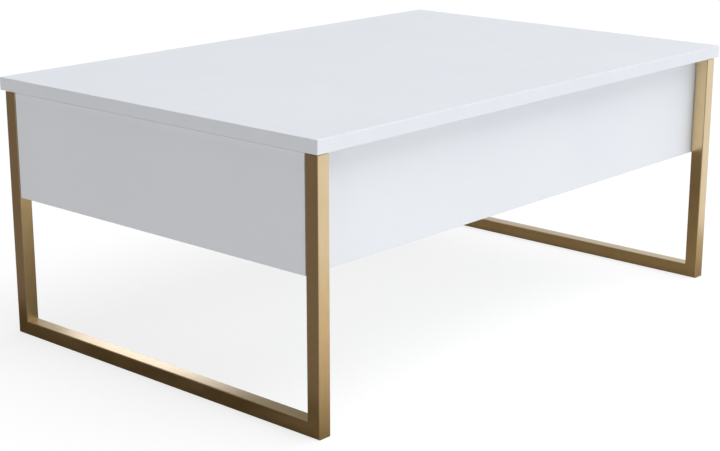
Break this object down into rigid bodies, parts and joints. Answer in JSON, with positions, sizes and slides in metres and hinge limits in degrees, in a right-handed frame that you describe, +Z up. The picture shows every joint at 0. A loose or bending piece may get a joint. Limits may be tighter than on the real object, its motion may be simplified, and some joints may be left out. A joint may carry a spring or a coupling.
{
  "type": "lift top coffee table",
  "caption": "Rectangular coffee table: white board top that lifts and comes forward on hinged arms over a storage box, on gold square-tube end frames.",
  "frame": {"origin": "on the floor, under the middle of the closed table", "axes": "+X along the long side to the right of the sitter, +Y away from the sitter, +Z up; the top opens towards -Y"},
  "size_m": [0.9, 0.6, 0.37],
  "materials": {
    "white_board": "satin white melamine on particle board",
    "white_edge": "satin white edge band",
    "gold_tube": "brushed gold coated steel",
    "black_plastic": "moulded",
    "black_steel": "powder coated",
    "zinc_steel": "zinc plated",
    "cast_zinc": "die cast",
    "spring_steel": "oiled spring wire",
    "nylon": "natural nylon",
    "clear_rubber": "soft grey",
    "beech": "raw"
  },
  "bodies": {
    "root": {"back_panel": "white_board", "base_pivot_pins": "zinc_steel", "base_pivot_washers": "nylon", "base_plate_screws": "zinc_steel", "bottom_cam_bolts": "zinc_steel", "bottom_cam_locks": "cast_zinc", "bottom_dowels": "beech", "bottom_panel": "white_board", "corner_cam_bolts": "zinc_steel", "corner_cam_locks": "cast_zinc", "corner_dowels": "beech", "frame_cam_bolts": "zinc_steel", "frame_cam_locks": "cast_zinc", "frame_rivet_nuts": "zinc_steel", "front_panel": "white_board", "left_base_plate": "black_steel", "left_end_panel": "white_board", "left_floor_rail": "gold_tube", "left_front_post": "gold_tube", "left_rear_post": "gold_tube", "post_plugs": "black_plastic", "right_base_plate": "black_steel", "right_end_panel": "white_board", "right_floor_rail": "gold_tube", "right_front_post": "gold_tube", "right_rear_post": "gold_tube", "skirt_edge_bands": "white_edge", "spring_anchor_studs": "zinc_steel", "top_bumpers": "clear_rubber"},
    "left_front_arm": {"left_front_arm": "black_steel", "left_arm_stud": "zinc_steel"},
    "right_front_arm": {"right_front_arm": "black_steel", "right_arm_stud": "zinc_steel"},
    "left_rear_arm": {"left_rear_arm": "black_steel"},
    "right_rear_arm": {"right_rear_arm": "black_steel"},
    "left_spring": {"left_spring": "spring_steel"},
    "right_spring": {"right_spring": "spring_steel"},
    "top": {"top_panel": "white_board", "top_edge_bands": "white_edge", "left_top_rail": "black_steel", "right_top_rail": "black_steel", "top_rail_screws": "zinc_steel", "top_pivot_pins": "zinc_steel", "top_pivot_washers": "nylon"}
  },
  "joints": [
    {"name": "lift", "type": "hinge", "parent": "root", "child": "left_front_arm", "pos_m": [-0.4225, -0.11, 0.304], "axis": [1, 0, 0], "range_deg": [0, 110], "stiffness_Nm_per_rad": 3.9, "springref_deg": 131.78, "deforming": ["left_spring", "right_spring"]},
    {"name": "right_front_arm_swing", "type": "hinge", "parent": "root", "child": "right_front_arm", "pos_m": [0.4225, -0.11, 0.304], "axis": [1, 0, 0], "range_deg": [0, 110]},
    {"name": "left_rear_arm_swing", "type": "hinge", "parent": "root", "child": "left_rear_arm", "pos_m": [-0.4225, -0.01, 0.274], "axis": [1, 0, 0], "range_deg": [0, 110]},
    {"name": "right_rear_arm_swing", "type": "hinge", "parent": "root", "child": "right_rear_arm", "pos_m": [0.4225, -0.01, 0.274], "axis": [1, 0, 0], "range_deg": [0, 110]},
    {"name": "top_level", "type": "hinge", "parent": "left_front_arm", "child": "top", "pos_m": [-0.4225, 0.08805, 0.33183], "axis": [1, 0, 0], "range_deg": [-110, 0]},
    {"name": "left_spring_swing", "type": "hinge", "parent": "root", "child": "left_spring", "pos_m": [-0.406, -0.225, 0.284], "axis": [1, 0, 0], "range_deg": [0, 13.6]},
    {"name": "right_spring_swing", "type": "hinge", "parent": "root", "child": "right_spring", "pos_m": [0.406, -0.225, 0.284], "axis": [1, 0, 0], "range_deg": [0, 13.6]}
  ],
  "couplings": [
    {"joint": "right_front_arm_swing", "follows": "lift", "ratio": 1},
    {"joint": "left_rear_arm_swing", "follows": "lift", "ratio": 1},
    {"joint": "right_rear_arm_swing", "follows": "lift", "ratio": 1},
    {"joint": "top_level", "follows": "lift", "ratio": -1},
    {"joint": "left_spring_swing", "follows": "lift", "ratio": 0.1226},
    {"joint": "right_spring_swing", "follows": "lift", "ratio": 0.1226}
  ]
}
